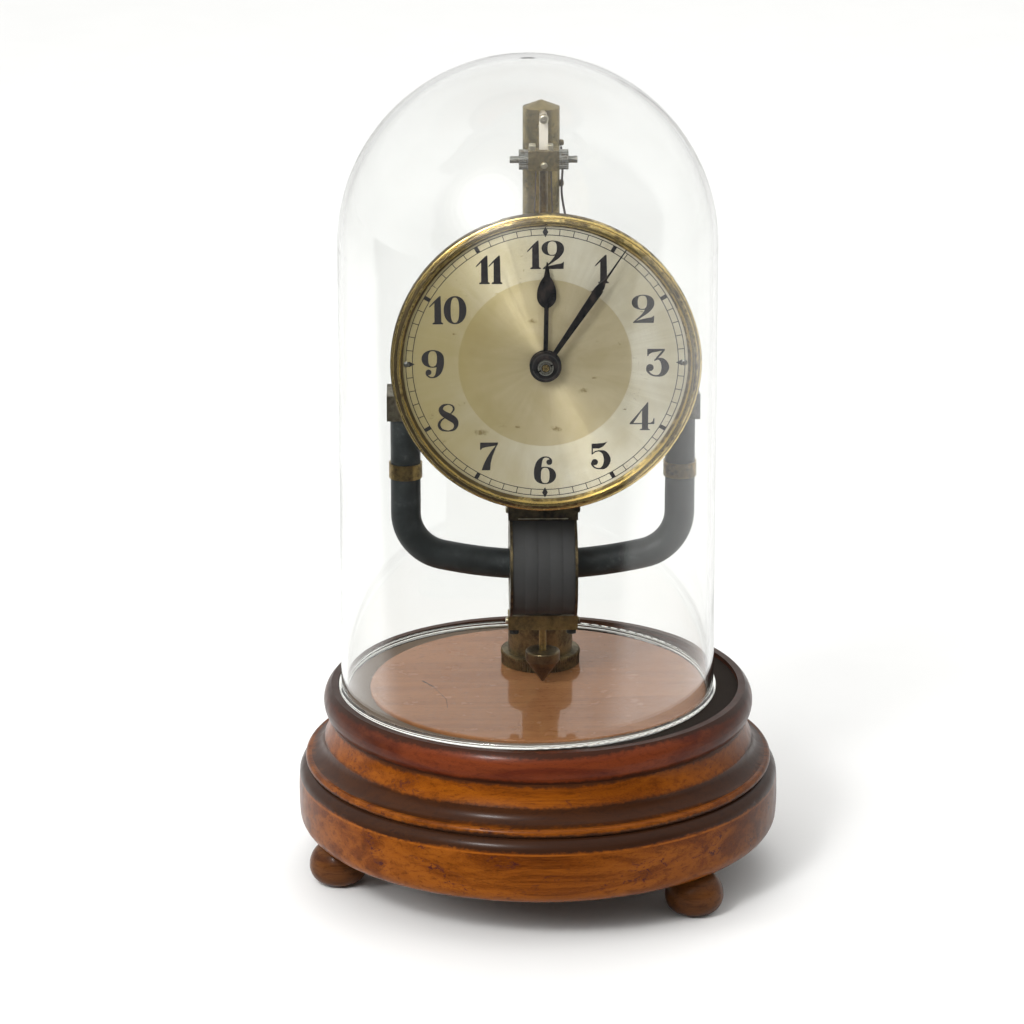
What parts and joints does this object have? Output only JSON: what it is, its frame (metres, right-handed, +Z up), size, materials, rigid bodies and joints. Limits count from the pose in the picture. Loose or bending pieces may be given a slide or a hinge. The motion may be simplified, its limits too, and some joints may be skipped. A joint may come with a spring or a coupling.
{
  "type": "bell jar dome with electric pendulum clock",
  "caption": "Glass bell jar on a turned wooden base with bun feet, over a battery clock with a round dial, a bent magnet bar and a coil pendulum.",
  "frame": {"origin": "centre of the base's round outline, on the surface that the feet stand on", "axes": "+Z up, the dial faces -Y, +X to the right as the dial is read"},
  "size_m": [0.2238, 0.2238, 0.387],
  "materials": {
    "drum_wood": "polished mahogany, orange-brown with dark figure",
    "cove_wood": "polished mahogany, tan",
    "rim_wood": "polished red mahogany",
    "platform_wood": "glossy reddish brown",
    "foot_wood": "polished dark mahogany",
    "felt": "black felt",
    "brass": "aged lacquered brass",
    "bezel_brass": "aged turned brass with dark patina",
    "dial_silver": "silvered brass, brushed in circles",
    "glass": "clear blown glass",
    "black_metal": "black lacquer",
    "winding": "black covered wire",
    "steel": "polished steel",
    "silk": "woven silk ribbon",
    "cell_jacket": "plain printed sleeve",
    "lead_cover": "covered wire"
  },
  "bodies": {
    "base_and_frame": {"plinth_drum": "drum_wood", "cove_moulding": "cove_wood", "rim_ring": "rim_wood", "dome_seat_felt": "felt", "platform_disc": "platform_wood", "foot_right": "foot_wood", "foot_back": "foot_wood", "foot_left": "foot_wood", "base_cover": "brass", "cover_screws": "steel", "battery_cell": "cell_jacket", "battery_contacts": "brass", "battery_leads": "lead_cover", "pillar_stud": "steel", "pillar_nut": "steel", "pillar_foot_ring": "brass", "pillar_collar": "brass", "pillar_tube": "brass", "pillar_cap": "brass", "suspension_arm": "brass", "magnet_bar": "black_metal", "magnet_bands": "brass", "magnet_end_clamps": "brass", "bracket_screws": "steel", "magnet_cross_bracket": "brass", "movement_bracket": "brass", "movement_back_plate": "brass", "movement_front_plate": "brass", "movement_pillars": "brass", "plate_screws": "steel", "dial_feet": "brass", "dial_backing": "brass", "dial_plate": "dial_silver", "bezel": "bezel_brass", "minute_stud": "steel"},
    "dome": {"glass_dome": "glass"},
    "pendulum": {"suspension_ribbon": "silk", "pendulum_head": "black_metal", "cross_pin": "steel", "pin_collars": "steel", "pendulum_rod": "brass", "contact_pin": "steel", "coil_upper_bracket": "brass", "coil_spool": "brass", "coil_winding": "winding", "coil_lower_bracket": "brass", "coil_screws": "black_metal", "rating_rod": "steel"},
    "rating": {"rating_nut": "brass"},
    "minute_group": {"minute_hand": "black_metal", "cannon_pinion": "brass", "hand_nut": "steel"},
    "minute_wheel_group": {"minute_wheel": "brass"},
    "hour_group": {"hour_hand": "black_metal", "hour_wheel": "brass"},
    "centre_group": {"centre_wheel": "brass"},
    "third_group": {"third_wheel": "brass"},
    "ratchet_group": {"ratchet_wheel": "brass"},
    "fork_group": {"fork_lever": "brass"},
    "pawl_group": {"drive_pawl": "steel"}
  },
  "joints": [
    {"name": "dome_lift", "type": "slide", "parent": "base_and_frame", "child": "dome", "axis": [0, 0, 1], "range_m": [0, 0.31]},
    {"name": "pendulum_swing", "type": "hinge", "parent": "base_and_frame", "child": "pendulum", "pos_m": [0.002, -0.002, 0.3595], "axis": [0, 1, 0], "range_deg": [-4, 4]},
    {"name": "rating_turn", "type": "hinge", "parent": "pendulum", "child": "rating", "pos_m": [0.002, -0.002, 0.1], "axis": [0, 0, 1], "range_deg": [-360, 360]},
    {"name": "hand_setting", "type": "hinge", "parent": "base_and_frame", "child": "minute_group", "pos_m": [0.002, -0.03, 0.2525], "axis": [0, 1, 0], "continuous": true},
    {"name": "minute_wheel_turn", "type": "hinge", "parent": "base_and_frame", "child": "minute_wheel_group", "pos_m": [-0.01153, -0.0235, 0.24757], "axis": [0, 1, 0], "continuous": true},
    {"name": "hour_hand_turn", "type": "hinge", "parent": "base_and_frame", "child": "hour_group", "pos_m": [0.002, -0.03, 0.2525], "axis": [0, 1, 0], "continuous": true},
    {"name": "third_wheel_turn", "type": "hinge", "parent": "base_and_frame", "child": "third_group", "pos_m": [0.01209, -0.016, 0.23808], "axis": [0, 1, 0], "continuous": true},
    {"name": "centre_wheel_turn", "type": "hinge", "parent": "base_and_frame", "child": "centre_group", "pos_m": [0.002, -0.016, 0.2525], "axis": [0, 1, 0], "continuous": true},
    {"name": "ratchet_wheel_turn", "type": "hinge", "parent": "base_and_frame", "child": "ratchet_group", "pos_m": [0.002, -0.016, 0.22367], "axis": [0, 1, 0], "continuous": true},
    {"name": "fork_rock", "type": "hinge", "parent": "base_and_frame", "child": "fork_group", "pos_m": [0.002, -0.0064, 0.22367], "axis": [0, 1, 0], "range_deg": [-18, 18]},
    {"name": "pawl_lift", "type": "hinge", "parent": "fork_group", "child": "pawl_group", "pos_m": [-0.00834, -0.006, 0.23234], "axis": [0, 1, 0], "range_deg": [-12, 0]}
  ],
  "couplings": [
    {"joint": "minute_wheel_turn", "follows": "hand_setting", "ratio": -0.33333},
    {"joint": "hour_hand_turn", "follows": "hand_setting", "ratio": 0.083333},
    {"joint": "centre_wheel_turn", "follows": "third_wheel_turn", "ratio": -0.1},
    {"joint": "ratchet_wheel_turn", "follows": "third_wheel_turn", "ratio": -10},
    {"joint": "fork_rock", "follows": "pendulum_swing", "ratio": -4.4334}
  ]
}
